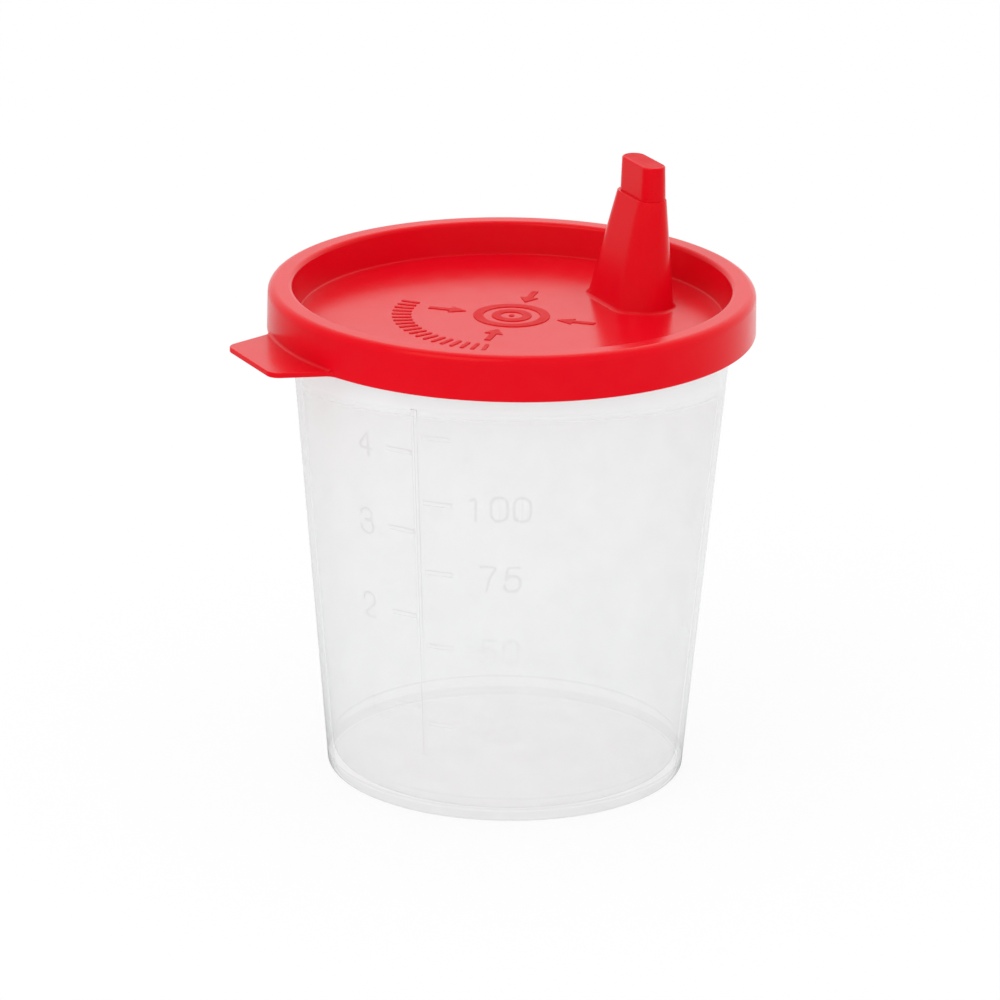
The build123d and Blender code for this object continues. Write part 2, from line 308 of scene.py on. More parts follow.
def moulded_polypropylene(name, code, haze, roughness, flank_shade_code=None):
    """Natural polypropylene, thin and moulded: a milky haze that lets most light straight
    through. It is denser along the outline, in the solid floor and in the neck and rim, and
    brighter just under the skirt with a painted band of light; the solid floor is greyed with painted
    shade.
    High up a painted cool tint offsets the red light that the lid throws on it. A raised mark has
    painted shade on its flanks, where they turn the light aside."""
    material, tree, shader, place = finish_surface(name)
    shader.inputs["IOR"].default_value = 1.49
    height, proud = place_on_wall(tree, place)
    outer = add(tree, maths, greater_than, {0: proud, 1: -outer_skin * MM}).outputs[0]
    inner = add(tree, maths, less_than, {0: proud, 1: -(cup_wall - inner_skin) * MM}).outputs[0]
    slant = add(tree, "ShaderNodeLayerWeight", (), {"Blend": 0.5}).outputs["Facing"]
    clouds = {"Vector": place, "Scale": 1 / (6 * MM), "Detail": 5.0}
    cloud = add(tree, "ShaderNodeTexNoise", (), clouds).outputs["Fac"]

    milk = {"Value": cloud, "To Min": haze - cloud_haze, "To Max": haze + cloud_haze}
    dense = add(tree, mapping, (), {**noise_spread, **milk}).outputs[0]
    dense = haze_along_the_eye(tree, slant, outer, dense)
    floor_shade, dense = haze_and_painted_shade_of_the_floor(tree, height, inner, dense)
    light_band, dense = haze_and_light_band_under_the_skirt(tree, height, slant, outer, dense)

    # painted cool tint high up, offsetting the red light that the lid throws on the wall
    rise = {"Value": height, "From Min": cool_from * MM, "From Max": skirt_bottom * MM}
    high = add(tree, mapping, (), rise).outputs[0]
    body = linear(code)
    # painted tint and painted light and shade over the milk's own colour
    for share, shade in ((high, cool_against_red_light), (floor_shade, painted_floor_shade), (light_band, painted_light_white)):
        body = add(tree, mix, of_colours, {0: share, 6: body, 7: linear(shade)}).outputs[2]
    # painted shade on the flanks of the raised marks
    if flank_shade_code:
        shade = flanks_of_marks(tree, height, proud)
        body = add(tree, mix, of_colours, {0: shade, 6: body, 7: linear(flank_shade_code)}).outputs[2]
        dense = add(tree, maths, product_plus, {0: shade, 1: flank_haze, 2: dense}).outputs[0]
    tree.links.new(body, shader.inputs["Base Color"])
    tree.links.new(dense, shader.inputs["Alpha"])
    grain = add(tree, "ShaderNodeTexNoise", (), {"Vector": place, "Scale": 1 / (0.8 * MM), "Detail": 2.0})
    gloss = {"Value": grain.outputs["Fac"], "To Min": roughness * 0.85, "To Max": roughness * 1.2}
    rough = add(tree, mapping, (), {**noise_spread, **gloss})
    tree.links.new(rough.outputs[0], shader.inputs["Roughness"])
    bump = add(tree, "ShaderNodeBump", (), {"Height": cloud, "Strength": 0.05, "Distance": 0.02 * MM})
    tree.links.new(bump.outputs[0], shader.inputs["Normal"])
    return material


cup_milky = moulded_polypropylene("natural_polypropylene_moulded", "#ECF0F1", 0.17, 0.2)
# the last colour is the painted shade on the flanks of the scale's marks
scale_milky = moulded_polypropylene("natural_polypropylene_raised_marks", "#ECF0F1", 0.17, 0.3, "#C6C8CA")


# Shapes
def quarter(steps):
    """The angles of a quarter turn in even steps, from 0 to 90 degrees."""
    return [radians(90 * k / steps) for k in range(steps + 1)]


def rounded(outline, closed=True, steps=5):
    """An outline of (x, y, radius) corners as points, with an arc in each corner that has a radius."""
    points = []
    count = len(outline)
    for i, (x, y, radius) in enumerate(outline):
        here = Vector((x, y))
        if not radius or (not closed and i in (0, count - 1)):
            points.append((x, y))
            continue
        back = (Vector(outline[i - 1][:2]) - here).normalized()
        ahead = (Vector(outline[(i + 1) % count][:2]) - here).normalized()
        half = back.angle(ahead) / 2
        centre = here + (back + ahead).normalized() * (radius / sin(half))
        start = here + back * (radius / tan(half)) - centre
        end = here + ahead * (radius / tan(half)) - centre
        turn = start.angle_signed(end)
        arc = max(2, round(steps * abs(turn) / (pi / 2)) + 1)
        for k in range(arc + 1):
            spot = Matrix.Rotation(-turn * k / arc, 2) @ start + centre
            points.append((spot.x, spot.y))
    return points


def mesh_object(name, points, faces, material):
    """A closed mesh object from points in millimetres, with its faces turned outwards."""
    mesh = bpy.data.meshes.new(name)
    mesh.from_pydata(points, [], faces)
    form = bmesh.new()
    form.from_mesh(mesh)
    bmesh.ops.remove_doubles(form, verts=form.verts, dist=1e-4)
    bmesh.ops.recalc_face_normals(form, faces=form.faces)
    if form.calc_volume(signed=True) < 0:
        bmesh.ops.reverse_faces(form, faces=form.faces)
    form.to_mesh(mesh)
    form.free()
    mesh.materials.append(material)
    piece = bpy.data.objects.new(name, mesh)
    scene.collection.objects.link(piece)
    return piece


def turned(name, outline, material, segments, start=0.0, sweep=360.0):
    """A closed (r, z) outline turned about the cup's axis, all round or through part of a turn."""
    whole = sweep >= 360
    columns = segments if whole else segments + 1
    on_axis = [abs(r) < 1e-6 for r, z in outline]
    points, rings = [], []
    for (r, z), centred in zip(outline, on_axis):
        if centred:
            rings.append([len(points)] * columns)
            points.append((0, 0, z))
        else:
            rings.append(range(len(points), len(points) + columns))
            for k in range(columns):
                angle = radians(start + sweep * k / segments)
                points.append((r * cos(angle), r * sin(angle), z))
    faces = []
    count = len(rings)
    for i in range(count - 1 if on_axis[0] and on_axis[-1] else count):
        low, high = rings[i], rings[(i + 1) % count]
        for k in range(segments):
            n = (k + 1) % columns
            face = [low[k], low[n], high[n], high[k]]
            face = [v for j, v in enumerate(face) if v != face[j - 1]]
            if len(face) > 2:
                faces.append(face)
    if not whole:
        faces.append([ring[0] for ring in rings])
        faces.append([ring[-1] for ring in rings])
    return mesh_object(name, points, faces, material)


def oval(x, z, length, width, steps=28, straight=6):
    """One ring of a flat oval with full round ends, its long axis along Y."""
    radius = width / 2
    half = length / 2 - radius
    ring = []
    for side in (1, -1):
        for k in range(steps):
            angle = pi * k / steps + (0 if side > 0 else pi)
            ring.append((x + radius * cos(angle), side * half + radius * sin(angle), z))
        for k in range(straight):
            ring.append((x - side * radius, side * half - side * 2 * half * k / straight, z))
    return ring


def stacked(name, rings, material, loop=False):
    """A closed solid through rings of equal count: capped at both ends, or joined end to end."""
    count = len(rings[0])
    points = [p for ring in rings for p in ring]
    faces = [] if loop else [list(range(count)), list(range(len(points) - count, len(points)))]
    for i in range(len(rings) if loop else len(rings) - 1):
        here, there = i * count, (i + 1) % len(rings) * count
        for k in range(count):
            n = (k + 1) % count
            faces.append([here + k, here + n, there + n, there + k])
    return mesh_object(name, points, faces, material)


def raised(name, outline, material):
    """A flat outline as a mark on the panel, its top edge narrowed by a small bevel."""
    count = len(outline)
    area = sum(a[0] * b[1] - b[0] * a[1] for a, b in zip(outline, outline[1:] + outline[:1]))
    inner = []
    for i, (x, y) in enumerate(outline):
        here = Vector((x, y))
        back = (here - Vector(outline[i - 1])).normalized()
        ahead = (Vector(outline[(i + 1) % count]) - here).normalized()
        side = (Vector((-back.y, back.x)) + Vector((-ahead.y, ahead.x))).normalized()
        side = side * (1 if area > 0 else -1)
        spread = max(least_spread, cos(back.angle(ahead) / 2))
        inner.append(here + side * mark_bevel / spread)
    rings = [
        [(x, y, mark_low) for x, y in outline],
        [(x, y, mark_side) for x, y in outline],
        [(p.x, p.y, mark_high) for p in inner],
    ]
    return stacked(name, rings, material)


def evaluated(piece):
    """Turns a piece and its modifiers into a plain mesh."""
    mesh = bpy.data.meshes.new_from_object(piece.evaluated_get(bpy.context.evaluated_depsgraph_get()))
    piece.modifiers.clear()
    old, piece.data = piece.data, mesh
    bpy.data.meshes.remove(old)
    return piece


def combined(piece, others, operation):
    """Joins closed solids to a piece, or cuts them from it, as one closed mesh."""
    for other in others:
        step = piece.modifiers.new(other.name, "BOOLEAN")
        step.operation = operation
        step.solver = "MANIFOLD"
        step.material_mode = "TRANSFER"
        step.object = other
    evaluated(piece)
    for other in others:
        bpy.data.objects.remove(other)
    return piece


def shaded(piece, angle=33):
    """Finishes a piece: smooth faces, sharp edges above the angle, normals led by the large
    faces, and lengths in metres."""
    mesh = piece.data
    form = bmesh.new()
    form.from_mesh(mesh)
    bmesh.ops.remove_doubles(form, verts=form.verts, dist=2e-4)
    bmesh.ops.dissolve_degenerate(form, dist=1e-4, edges=form.edges)
    bmesh.ops.delete(form, geom=[v for v in form.verts if not v.link_faces], context="VERTS")
    form.to_mesh(mesh)
    form.free()
    mesh.shade_smooth()
    mesh.set_sharp_from_angle(angle=radians(angle))
    step = piece.modifiers.new("normals", "WEIGHTED_NORMAL")
    step.mode = "FACE_AREA"
    step.keep_sharp = True
    evaluated(piece)
    piece.data.transform(Matrix.Scale(MM, 4))
    return piece


# Geometry trees
def geometry_tree(name, inputs):
    """A geometry tree with its named inputs, each of a kind, and one geometry output."""
    tree = bpy.data.node_groups.new(name, "GeometryNodeTree")
    for label, kind in inputs:
        tree.interface.new_socket(label, in_out="INPUT", socket_type="NodeSocket" + kind)
    tree.interface.new_socket("Geometry", in_out="OUTPUT", socket_type="NodeSocketGeometry")
    return tree, add(tree, "NodeGroupInput").outputs


def end_tree(tree, source, material):
    """Ends a geometry tree: its copies made real, with their material."""
    real = add(tree, "GeometryNodeRealizeInstances", (), {"Geometry": source})
    dress = {"Geometry": real.outputs[0], "Material": material}
    dressed = add(tree, "GeometryNodeSetMaterial", (), dress)
    add(tree, "NodeGroupOutput", (), {"Geometry": dressed.outputs[0]})


def repeated_tree():
    """Repeats one solid round the cup's axis, for the arrows and the ribs on the panel."""
    tree, given = geometry_tree(
        "repeated_round_the_axis",
        (
            ("Geometry", "Geometry"),
            ("Count", "Int"),
            ("First Angle", "Float"),
            ("Pitch Angle", "Float"),
            ("Material", "Material"),
        ),
    )
    spots = add(tree, "GeometryNodePoints", (), {"Count": given["Count"]}).outputs[0]
    index = add(tree, "GeometryNodeInputIndex").outputs[0]
    turn = {0: index, 1: given["Pitch Angle"], 2: given["First Angle"]}
    angle = add(tree, maths, product_plus, turn).outputs[0]
    turn = add(tree, "ShaderNodeCombineXYZ", (), {"Z": angle}).outputs[0]
    copy = {"Points": spots, "Instance": given["Geometry"], "Rotation": turn}
    copies = add(tree, "GeometryNodeInstanceOnPoints", (), copy)
    end_tree(tree, copies.outputs[0], given["Material"])
    return tree


def grown(piece, tree, values):
    """Runs a geometry tree on a piece, its inputs set by their identifiers, and keeps the plain mesh."""
    step = piece.modifiers.new(tree.name, "NODES")
    step.node_group = tree
    for socket in tree.interface.items_tree:
        if socket.in_out == "INPUT" and socket.name in values:
            step[socket.identifier] = values[socket.name]
    return evaluated(piece)


# Lid
def lid_form():
    under_ridge = bead_bottom - slide_clearance
    plug_edge = plug_radius - plug_draft
    outline = [
        (0, panel_under, 0),
        (plug_edge - panel_thickness / 2, panel_under, plug_corner),
        (plug_edge, panel_under + panel_thickness / 2, plug_corner),
        (plug_radius, roof_z, channel_corner),
        (skirt_inner, roof_z, channel_corner),
        (skirt_inner, under_ridge, ridge_top_corner),
        (ridge_radius, under_ridge - ridge_depth, ridge_corner),
        (ridge_radius, under_ridge - 2 * ridge_depth, ridge_corner),
        (skirt_inner, under_ridge - 4 * ridge_depth, soft_corner),
        (skirt_inner, skirt_bottom + edge, soft_corner),
        (skirt_inner + edge, skirt_bottom, soft_corner),
        (skirt_radius, skirt_bottom, skirt_corner),
        (skirt_radius - skirt_draft, lid_top, skirt_fillet),
        (recess_radius + recess_draft, lid_top, recess_fillet),
        (recess_radius, panel_z, panel_fillet),
        (0, panel_z, 0),
    ]
    return turned("lid_visual", rounded(outline, steps=8), lid_red, segments=288)


def pull_tab():
    """A flat tongue level with the skirt's bottom. The fillets at its root touch both the
    skirt's circle and the tab's slanted sides."""
    root_x = sqrt(skirt_radius**2 - tab_root_half**2)
    slant = atan((tab_root_half - tab_end_half) / (tab_reach - root_x))
    side_point = Vector((-root_x, tab_root_half))
    side_along = Vector((-cos(slant), -sin(slant)))
    side_out = Vector((-sin(slant), cos(slant)))
    foot = side_point + side_out * tab_root_fillet
    reach = foot.dot(side_along)
    centre_gap = (skirt_radius + tab_root_fillet) ** 2 - foot.dot(foot)
    travel = -reach + sqrt(reach * reach + centre_gap)
    fillet_centre = foot + side_along * travel
    on_skirt = fillet_centre * (skirt_radius / fillet_centre.length) - fillet_centre
    on_side = -side_out * tab_root_fillet
    sweep = on_skirt.angle_signed(on_side)
    side = [fillet_centre + Matrix.Rotation(-sweep * k / 8, 2) @ on_skirt for k in range(9)]
    inside = side[0] * ((skirt_inner + skirt_wall / 2) / side[0].length)
    corners = [(side[-1].x, side[-1].y, 0), (-tab_reach, tab_end_half, tab_corner), (-tab_reach, 0, 0)]
    end = rounded(corners, closed=False, steps=10)
    upper = [(inside.x, inside.y)] + [(p.x, p.y) for p in side[:-1]] + end[:-1]
    outline = upper + [(x, -y) for x, y in reversed(upper)]
    tab = stacked("tab", [[(x, y, z) for x, y in outline] for z in (skirt_bottom, tab_top)], lid_red)
    soft = tab.modifiers.new("edges", "BEVEL")
    soft.width, soft.segments, soft.limit_method, soft.angle_limit = tab_edge, 3, "ANGLE", radians(60)
    evaluated(tab)
    tab.data.transform(Matrix.Rotation(radians(tab_turn), 4, "Z"))
    return tab


def tab_root():
    """A small hollow fillet where the tab's top meets the skirt."""
    bottom, back = tab_top - root_sunk, skirt_radius - root_bite
    hollow = [
        (skirt_radius + root_rise * (1 - sin(a)), tab_top + root_rise * (1 - cos(a)))
        for a in quarter(6)
    ]
    outline = [(back, bottom), (skirt_radius + root_rise, bottom)] + hollow + [(back, tab_top + root_rise)]
    start, sweep = 180 + tab_turn - root_half_sweep, 2 * root_half_sweep
    return turned("root", outline, lid_red, segments=24, start=start, sweep=sweep)


def spout_ring(share, out=0.0, z=None):
    """A ring of the spout's straight sides, a share of the way from the panel to the ledge."""
    return oval(
        spout_x + ledge_shift * share,
        panel_z + spout_height * share if z is None else z,
        spout_length + (ledge_length - spout_length) * share + 2 * out,
        spout_width + (ledge_width - spout_width) * share + 2 * out,
    )


def spout_form():
    """Straight sides from a small fillet at the panel up to the ledge, with a rounded lip."""
    rings = [spout_ring(0, spout_foot, panel_z - spout_sunk)]
    for angle in quarter(6):
        rise = spout_foot * (1 - cos(angle)) - (0 if angle else foot_start)
        rings.append(spout_ring(rise / spout_height, spout_foot * (1 - sin(angle)), panel_z + rise))
    rings += [spout_ring(share) for share in (0.25, 0.5, 0.75)]
    for angle in quarter(4):
        tuck = ledge_lip * (1 - cos(angle))
        z = ledge_z - ledge_lip * (1 - sin(angle))
        rings.append(oval(ledge_x, z, ledge_length - 2 * tuck, ledge_width - 2 * tuck))
    return stacked("spout", rings, lid_red)


def passage():
    """The hollow in the spout, open to the cup below, and the outlet in the ledge."""
    share = (passage_z - panel_z) / spout_height
    deep = (panel_under - overcut - panel_z) / (passage_z - panel_z)
    low_length, low_width = spout_length - 2 * spout_wall, spout_width - 2 * spout_wall
    high_length = spout_length + (ledge_length - spout_length) * share - 2 * spout_wall
    high_width = spout_width + (ledge_width - spout_width) * share - 2 * spout_wall
    high_x = spout_x + ledge_shift * share
    rings = [
        oval(
            spout_x + (high_x - spout_x) * f,
            panel_z + (passage_z - panel_z) * f,
            low_length + (high_length - low_length) * f,
            low_width + (high_width - low_width) * f,
        )
        for f in (deep, 0.33, 0.66, 1.0)
    ]
    length, width = seat_length - 2 * outlet_seal, seat_width - 2 * outlet_seal
    rings += [oval(tip_x, z, length, width) for z in (passage_z, ledge_z + overcut)]
    return stacked("passage", rings, lid_red)


# Raised marks on the panel
mark_low, mark_high = panel_z - mark_sunk, panel_z + panel_relief
mark_side = mark_high - mark_bevel
repeated = repeated_tree()


def round_row(mark, count, first, pitch):
    """A mark repeated round the cup's axis, with its angles in degrees."""
    values = {"Count": count, "First Angle": radians(first), "Pitch Angle": radians(pitch)}
    return grown(mark, repeated, {**values, "Material": mark_red})


def arrow_marks():
    """Four arrows that point at the target."""
    shaft, head = arrow_shaft / 2, arrow_head / 2
    outline = [(arrow_tail, -shaft), (arrow_tail, shaft), (arrow_neck, shaft), (arrow_neck, head)]
    outline += [(arrow_tip, 0), (arrow_neck, -head), (arrow_neck, -shaft)]
    return round_row(raised("arrows", outline, mark_red), arrow_count, arrow_turn, 360 / arrow_count)


def rib_marks():
    """A curved row of short ribs next to the pull tab."""
    near, far, half = rib_radius - rib_length / 2, rib_radius + rib_length / 2, rib_width / 2
    corners = ((near, -half), (far, -half), (far, half), (near, half))
    outline = rounded([(x, y, rib_corner) for x, y in corners])
    return round_row(
        raised("ribs", outline, mark_red), rib_count, 180 - rib_span / 2, rib_span / (rib_count - 1)
    )


def target_marks():
    """Two rings and the dot in their middle."""
    marks = []
    for outer, width in ((outer_ring, outer_ring_width), (inner_ring, inner_ring_width)):
        inner = outer - width
        outline = [(outer, mark_low), (outer, mark_side), (outer - mark_bevel, mark_high)]
        outline += [(inner + mark_bevel, mark_high), (inner, mark_side), (inner, mark_low)]
        marks.append(turned("ring", outline, mark_red, segments=96))
    outline = [(0, mark_low), (target_dot, mark_low), (target_dot, mark_side)]
    outline += [(target_dot - mark_bevel, mark_high), (0, mark_high)]
    return marks + [turned("dot", outline, mark_red, segments=32)]


lid = lid_form()
joined_to_lid = [pull_tab(), tab_root(), spout_form(), arrow_marks(), rib_marks()] + target_marks()
combined(lid, joined_to_lid, "UNION")
combined(lid, [passage()], "DIFFERENCE")
shaded(lid)
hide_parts("lid")
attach(lid, "lid")


# Snap-off tip
def snap_off_tip():
    """A flat oval with a little draft and a rounded, duller end."""
    rings = []
    for share in (0, 0.5):
        tuck, z = tip_draft * share, ledge_z + tip_height * share
        rings.append(oval(tip_x, z, seat_length - 2 * tuck, seat_width - 2 * tuck))
    for angle in quarter(5):
        tuck = tip_draft + tip_fillet * (1 - cos(angle))
        z = tip_top_z - tip_fillet * (1 - sin(angle))
        rings.append(oval(tip_x, z, seat_length - 2 * tuck, seat_width - 2 * tuck))
    tip = stacked("snap_off_tip_visual", rings, lid_red)
    tip.data.materials.append(cut_red)
    for face in tip.data.polygons:
        face.material_index = 1 if face.normal.z > 0.99 else 0
    return tip


tip = snap_off_tip()
shaded(tip)
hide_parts("snap_off_tip")
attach(tip, "snap_off_tip")


# Cup
def cup_form():
    shoulder_in = shoulder_z - edge
    outline = [
        (0, underside_depth, 0),
        (underside_flat, underside_depth, underside_blend),
        (foot_radius, 0, soft_corner),
        (base_radius, 0, base_corner),
        (wall_radius(shoulder_z), shoulder_z, shoulder_fillet),
        (neck_radius, shoulder_z + shoulder_rise, shoulder_fillet),
        (neck_radius, bead_bottom, soft_corner),
        (bead_radius, bead_bottom + edge, bead_corner),
        (bead_radius, rim_z - edge, rim_corner),
        (bead_radius - edge, rim_z, rim_corner),
        (neck_inner + edge, rim_z, rim_corner),
        (neck_inner, rim_z - edge, rim_corner),
        (neck_inner, shoulder_in + shoulder_rise, shoulder_fillet),
        (wall_radius(shoulder_in) - cup_wall, shoulder_in, shoulder_fillet),
        (floor_radius, cup_floor, floor_fillet),
        (0, cup_floor, 0),
    ]
    return turned("cup_visual", rounded(outline, steps=10), cup_milky, segments=288)


# Scale
def mark_rows(tree, given, block):
    """The marks of both units, each at the height that its volume of liquid fills the cup to."""
    index = add(tree, "GeometryNodeInputIndex").outputs[0]
    count = add(tree, maths, sum_of, {0: index, 1: 1.0}).outputs[0]
    cube = add(tree, maths, power, {0: given["Floor Radius"], 1: 3.0}).outputs[0]
    gain = add(tree, maths, product, {0: given["Wall Slope"], 1: 3 / pi}).outputs[0]
    rows = []
    for unit in ("Ounce", "Step"):
        # radius of the liquid's surface, from the volume of a cone's slice
        filled = add(tree, maths, product, {0: count, 1: given[unit]}).outputs[0]
        level = add(tree, maths, product_plus, {0: filled, 1: gain, 2: cube}).outputs[0]
        radius = add(tree, maths, power, {0: level, 1: 1 / 3}).outputs[0]
        rise = add(tree, maths, difference, {0: radius, 1: given["Floor Radius"]}).outputs[0]
        height = add(tree, maths, quotient, {0: rise, 1: given["Wall Slope"]}).outputs[0]
        z = add(tree, maths, sum_of, {0: height, 1: given["Floor Height"]}).outputs[0]
        spot = {"X": given[unit + " Offset"], "Y": given["Out"], "Z": z}
        spot = add(tree, "ShaderNodeCombineXYZ", (), spot).outputs[0]
        row = {"Count": given[unit + " Count"], "Position": spot}
        points = add(tree, "GeometryNodePoints", (), row).outputs[0]
        copy = {"Points": points, "Instance": block}
        rows.append(add(tree, "GeometryNodeInstanceOnPoints", (), copy).outputs[0])
    return rows


def drafted(tree, given, blocks):
    """Blocks whose outer face is a little narrower than their foot."""
    own = add(tree, "GeometryNodeInputPosition").outputs[0]
    own = add(tree, "ShaderNodeSeparateXYZ", (), {0: own}).outputs
    outer = add(tree, maths, greater_than, {0: own["Y"], 1: 0.0}).outputs[0]
    inward = add(tree, maths, product, {0: outer, 1: given["Draft"]}).outputs[0]
    shift = {}
    for axis in ("X", "Z"):
        side = add(tree, maths, {"operation": "SIGN"}, {0: own[axis]}).outputs[0]
        shift[axis] = add(tree, maths, product, {0: side, 1: inward}).outputs[0]
    out = add(tree, "ShaderNodeCombineXYZ", (), shift).outputs[0]
    back = add(tree, vector_maths, {"operation": "SCALE"}, {0: out, "Scale": -1.0}).outputs[0]
    moved = []
    for block in blocks:
        move = {"Geometry": block.outputs["Mesh"], "Offset": back}
        moved.append(add(tree, "GeometryNodeSetPosition", (), move).outputs[0])
    return moved


def wrapped(tree, given, flat):
    """What is laid out flat (X along the wall, Y out of it, Z up), wrapped on the cup's cone."""
    spot = add(tree, "GeometryNodeInputPosition").outputs[0]
    spot = add(tree, "ShaderNodeSeparateXYZ", (), {0: spot}).outputs
    cone = {0: spot["Z"], 1: given["Wall Slope"], 2: given["Base Radius"]}
    wall = add(tree, maths, product_plus, cone).outputs[0]
    out = add(tree, maths, sum_of, {0: wall, 1: spot["Y"]}).outputs[0]
    swing = add(tree, maths, quotient, {0: spot["X"], 1: given["Lay Radius"]}).outputs[0]
    angle = add(tree, maths, sum_of, {0: swing, 1: given["Azimuth"]}).outputs[0]
    place = {"Z": spot["Z"]}
    for axis, operation in (("X", "COSINE"), ("Y", "SINE")):
        part = add(tree, maths, {"operation": operation}, {0: angle}).outputs[0]
        place[axis] = add(tree, maths, product, {0: out, 1: part}).outputs[0]
    place = add(tree, "ShaderNodeCombineXYZ", (), place).outputs[0]
    moved = add(tree, "GeometryNodeSetPosition", (), {"Geometry": flat, "Position": place})
    # the wrap mirrors the winding, so the faces are flipped
    return add(tree, "GeometryNodeFlipFaces", (), {"Mesh": moved.outputs[0]}).outputs[0]


def scale_tree():
    """The raised scale: the marks of both units, a spine between them and the numerals."""
    tree, given = geometry_tree(
        "scale_wrapped_on_the_wall",
        [("Geometry", "Geometry"), ("Ounce Count", "Int"), ("Step Count", "Int")]
        + [(length, "Float") for length in ("Ounce", "Step", "Ounce Offset", "Step Offset")]
        + [("Mark Size", "Vector"), ("Draft", "Float"), ("Spine Size", "Vector"), ("Spine Middle", "Float")]
        + [(length, "Float") for length in ("Base Radius", "Wall Slope", "Floor Radius", "Floor Height")]
        + [("Lay Radius", "Float"), ("Azimuth", "Float"), ("Out", "Float"), ("Material", "Material")],
    )
    blocks = []
    for size, across, high in (("Mark Size", 13, 2), ("Spine Size", 4, 9)):
        cuts = {"Size": given[size], "Vertices X": across, "Vertices Y": 2, "Vertices Z": high}
        blocks.append(add(tree, "GeometryNodeMeshCube", (), cuts))
    block, spine = drafted(tree, given, blocks)
    rows = mark_rows(tree, given, block)
    middle = {"Y": given["Out"], "Z": given["Spine Middle"]}
    middle = add(tree, "ShaderNodeCombineXYZ", (), middle).outputs[0]
    stood = add(tree, "GeometryNodeTransform", (), {"Geometry": spine, "Translation": middle}).outputs[0]
    joined = add(tree, "GeometryNodeJoinGeometry")
    for source in rows + [stood, given["Geometry"]]:
        tree.links.new(source, joined.inputs[0])
    real = add(tree, "GeometryNodeRealizeInstances", (), {"Geometry": joined.outputs[0]}).outputs[0]
    end_tree(tree, wrapped(tree, given, real), given["Material"])
    return tree


# Each numeral as the middle lines of its strokes: (x, z, corner radius) in a box 2.25 wide
# and 3.55 high.
strokes = {
    "0": [[(0, 0, 1.12), (0, 3.55, 1.12), (2.25, 3.55, 1.12), (2.25, 0, 1.12)]],
    "1": [[(0.35, 2.85, 0), (1.0, 3.55, 0.28), (1.0, 0, 0)]],
    "2": [
        [(0.05, 2.5, 0), (0.05, 3.55, 1.0), (2.15, 3.55, 1.0), (2.15, 2.1, 0.9), (0, 0, 0.28), (2.25, 0, 0)]
    ],
    "3": [
        [(0.1, 2.65, 0), (0.1, 3.55, 0.88), (2.05, 3.55, 0.8), (2.05, 1.9, 0.8), (0.85, 1.9, 0)],
        [(0.95, 1.9, 0), (2.25, 1.9, 0.9), (2.25, 0, 0.9), (0, 0, 0.94), (0, 0.95, 0)],
    ],
    "4": [[(1.65, 0, 0), (1.65, 3.5, 0)], [(1.65, 3.5, 0), (0, 0.95, 0.28), (2.25, 0.95, 0)]],
    "5": [
        [(2.05, 3.55, 0), (0.45, 3.55, 0.28), (0.25, 1.75, 0)],
        [(0.3, 1.8, 0), (0.8, 2.3, 0.5), (2.25, 2.3, 0.95), (2.25, 0, 0.95), (0, 0, 0.8), (0, 0.82, 0)],
    ],
    "7": [[(0, 3.55, 0), (2.25, 3.55, 0.28), (1.2, 1.9, 2.0), (0.85, 0, 0)]],
}


def bead(path, loop, material, segments=12):
    """A round bead along a flat line, with round ends, sunk so that its back stands out a little."""
    spots = []
    for i, here in enumerate(path):
        back = path[i - 1] if loop or i else here
        ahead = path[(i + 1) % len(path)] if loop or i + 1 < len(path) else here
        spots.append((here, (ahead - back).normalized(), stroke_radius))
    if not loop:
        for place, sign in ((0, -1), (-1, 1)):
            here, along = spots[place][:2]
            cap = [
                (here + along * sign * stroke_radius * sin(a), along, stroke_radius * cos(a))
                for a in (radians(d) for d in (30, 55, 75, 86))
            ]
            spots = spots + cap if sign > 0 else cap[::-1] + spots
    rings = []
    for here, along, radius in spots:
        ring = []
        for k in range(segments):
            a = 2 * pi * (k + 0.5) / segments
            side = here + Vector((-along.y, along.x)) * radius * cos(a)
            ring.append((side.x, stroke_relief - stroke_radius + radius * sin(a), side.y))
        rings.append(ring)
    return stacked("stroke", rings, material, loop)


def stroke_path(line, loop, left, middle):
    """The line of one stroke as points a short pitch apart, its numeral centred on a height."""
    corners = rounded(line, closed=loop, steps=7)
    corners = [Vector((x + left, y + middle - numeral_height / 2)) for x, y in corners]
    path = []
    for here, there in zip(corners, corners[1:] + corners[:1] if loop else corners[1:]):
        pieces = max(1, round((there - here).length / path_pitch))
        path += [here.lerp(there, k / pieces) for k in range(pieces)]
    return path if loop else path + [corners[-1]]


def numerals(rows, material):
    """Rows of plain numerals in one flat mesh, each from a place along the wall and centred on a height."""
    form = bmesh.new()
    for text, left, pitch, middle in rows:
        for place, digit in enumerate(text):
            loop = digit == "0"
            paths = [stroke_path(line, loop, left + pitch * place, middle) for line in strokes[digit]]
            whole = bead(paths[0], loop, material)
            for path in paths[1:]:
                combined(whole, [bead(path, loop, material)], "UNION")
            form.from_mesh(whole.data)
            bpy.data.objects.remove(whole)
    mesh = bpy.data.meshes.new("scale")
    form.to_mesh(mesh)
    form.free()
    mesh.materials.append(material)
    return mesh


